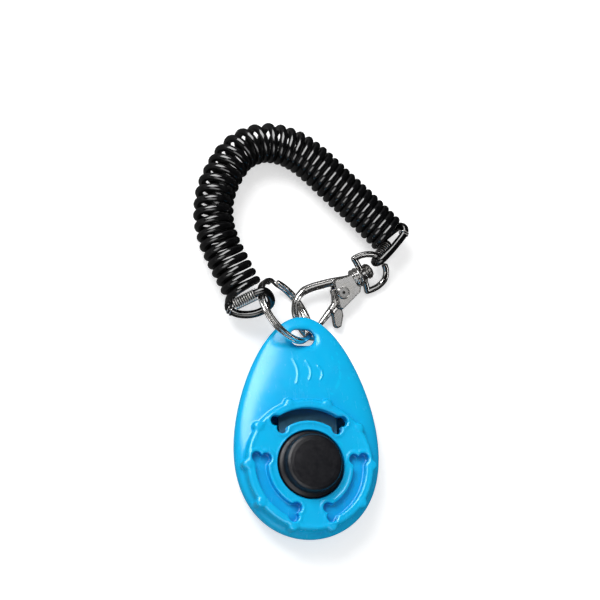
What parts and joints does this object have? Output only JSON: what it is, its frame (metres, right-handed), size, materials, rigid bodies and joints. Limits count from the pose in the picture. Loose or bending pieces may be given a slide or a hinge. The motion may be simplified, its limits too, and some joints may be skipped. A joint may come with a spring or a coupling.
{
  "type": "dog training clicker with spiral wrist strap",
  "caption": "Egg-shaped handheld clicker with a raised thumb button over a steel click plate, split ring, swivel snap hook and coiled plastic wrist strap.",
  "frame": {"origin": "on the flat of the back shell, under the middle of the thumb button; the back lies on z = 0", "axes": "+Z out of the thumb button, +Y from the button along the body towards the strap hole and the coil, +X to the right seen from the front"},
  "size_m": [0.0636, 0.1216, 0.0176],
  "materials": {
    "shell_blue": "glossy sky-blue moulded plastic",
    "button_black": "satin black",
    "plate_steel": "spring steel, dull",
    "ring_nickel": "bright nickel plate",
    "cord_black": "glossy black soft plastic cord",
    "wrap_wire": "bright wire",
    "dee_nickel": "bright nickel plate",
    "clasp_nickel": "nickel plate, satin cast",
    "gate_nickel": "nickel plate, satin",
    "pin_steel": "turned steel",
    "spring_steel": "spring wire"
  },
  "bodies": {
    "shell": {"front_shell": "shell_blue", "back_shell": "shell_blue"},
    "button": {"button_cap": "button_black"},
    "plate": {"click_plate": "plate_steel"},
    "ring": {"split_ring": "ring_nickel"},
    "strap": {"coil_cord": "cord_black", "eye_wrap_left": "wrap_wire", "eye_wrap_right": "wrap_wire"},
    "dee": {"d_ring": "dee_nickel"},
    "snap": {"swivel_rivet": "pin_steel", "clasp_body": "clasp_nickel", "gate_pin": "pin_steel", "gate_spring": "spring_steel"},
    "gate": {"clasp_gate": "gate_nickel"}
  },
  "joints": [
    {"name": "button_press", "type": "slide", "parent": "shell", "child": "button", "axis": [0, 0, -1], "range_m": [0, 0.0014]},
    {"name": "plate_flex", "type": "hinge", "parent": "shell", "child": "plate", "pos_m": [0, 0.0182, 0.0097], "axis": [1, 0, 0], "range_deg": [0, 4.6]},
    {"name": "ring_swing", "type": "hinge", "parent": "shell", "child": "ring", "pos_m": [0.0003, 0.0372, 0.0074], "axis": [0, 0, 1], "range_deg": [-15, 15]},
    {"name": "strap_swing", "type": "hinge", "parent": "ring", "child": "strap", "pos_m": [-0.0129, 0.0475, 0.0127], "axis": [0.8208, -0.1576, -0.549], "range_deg": [-3, 10]},
    {"name": "dee_roll", "type": "hinge", "parent": "strap", "child": "dee", "pos_m": [0.0259, 0.0625, 0.0059], "axis": [-0.7931, -0.599, -0.1104], "range_deg": [-6, 2]},
    {"name": "clasp_swivel", "type": "hinge", "parent": "dee", "child": "snap", "pos_m": [0.0193, 0.0564, 0.0041], "axis": [-0.846, -0.5286, -0.0698], "range_deg": [-12, 2]},
    {"name": "gate_open", "type": "hinge", "parent": "snap", "child": "gate", "pos_m": [0.01373, 0.05141, 0.00338], "axis": [-0.0245, 0.1692, -0.9853], "range_deg": [0, 9]}
  ],
  "couplings": [
    {"joint": "plate_flex", "follows": "button_press", "rad_per_m": 54.9}
  ]
}
